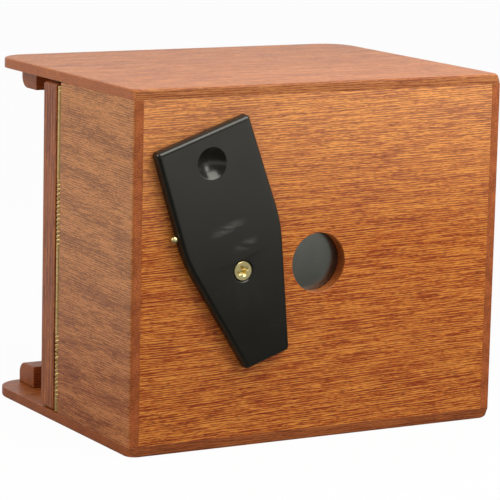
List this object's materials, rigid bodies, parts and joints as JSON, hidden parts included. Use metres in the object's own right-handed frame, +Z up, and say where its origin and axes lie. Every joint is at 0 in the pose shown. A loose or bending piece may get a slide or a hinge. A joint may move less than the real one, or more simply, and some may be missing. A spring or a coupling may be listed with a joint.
{
  "type": "wooden pinhole camera",
  "caption": "Hardwood box camera with a pinhole instead of a lens, a swinging shutter blade and a sprung, hinged back that presses a sheet-film holder to the film frame.",
  "frame": {"origin": "middle of the underside of the whole camera's box", "axes": "+Z up, -Y out of the front with the pinhole, +X towards the side where the film holder goes in"},
  "size_m": [0.155, 0.1218, 0.1325],
  "materials": {
    "case_wood": "oiled and rubbed mahogany-like hardwood",
    "front_panel_wood": "oiled hardwood with level grain and short dark pores",
    "door_wood": "oiled brown hardwood with upright grain",
    "inner_wood": "sawn hardwood",
    "blackened_wood": "birch ply stained flat black",
    "felt": "black wool felt",
    "brass": "turned and drawn brass, a little dulled",
    "dark_metal": "chemically blackened brass shim, semi-gloss",
    "black_plastic": "moulded black plastic, satin",
    "nylon": "natural nylon",
    "spring_bronze": "rolled spring bronze"
  },
  "bodies": {
    "case": {"front_panel": "front_panel_wood", "left_wall": "case_wood", "right_wall": "case_wood", "top_board": "case_wood", "bottom_board": "case_wood", "upper_batten": "case_wood", "lower_batten": "case_wood", "corner_post_top_left": "inner_wood", "corner_post_top_right": "inner_wood", "corner_post_bottom_left": "inner_wood", "corner_post_bottom_right": "inner_wood", "film_frame": "blackened_wood", "light_seal": "felt", "lower_runner": "blackened_wood", "upper_runner": "blackened_wood", "hinge_leaf_box": "brass", "hinge_pin": "brass", "pinhole_plate": "dark_metal", "pinhole_retainer": "blackened_wood", "retainer_screws": "brass", "pivot_block": "inner_wood", "pivot_screw": "brass", "pivot_washer": "nylon", "stop_pin": "brass", "upper_spring": "spring_bronze", "lower_spring": "spring_bronze", "spring_screws": "brass", "tripod_block": "inner_wood", "tripod_insert": "brass"},
    "door": {"back_door": "door_wood", "hinge_leaf_door": "brass"},
    "shutter": {"shutter_blade": "black_plastic"}
  },
  "joints": [
    {"name": "door_hinge", "type": "hinge", "parent": "case", "child": "door", "pos_m": [-0.07594, 0.00425, 0.066], "axis": [0, 0, 1], "range_deg": [0, 8], "stiffness_Nm_per_rad": 6, "springref_deg": -6.88, "deforming": ["upper_spring", "lower_spring"]},
    {"name": "shutter_swing", "type": "hinge", "parent": "case", "child": "shutter", "pos_m": [-0.0346, -0.05895, 0.0659], "axis": [0, 1, 0], "range_deg": [0, 109]}
  ]
}
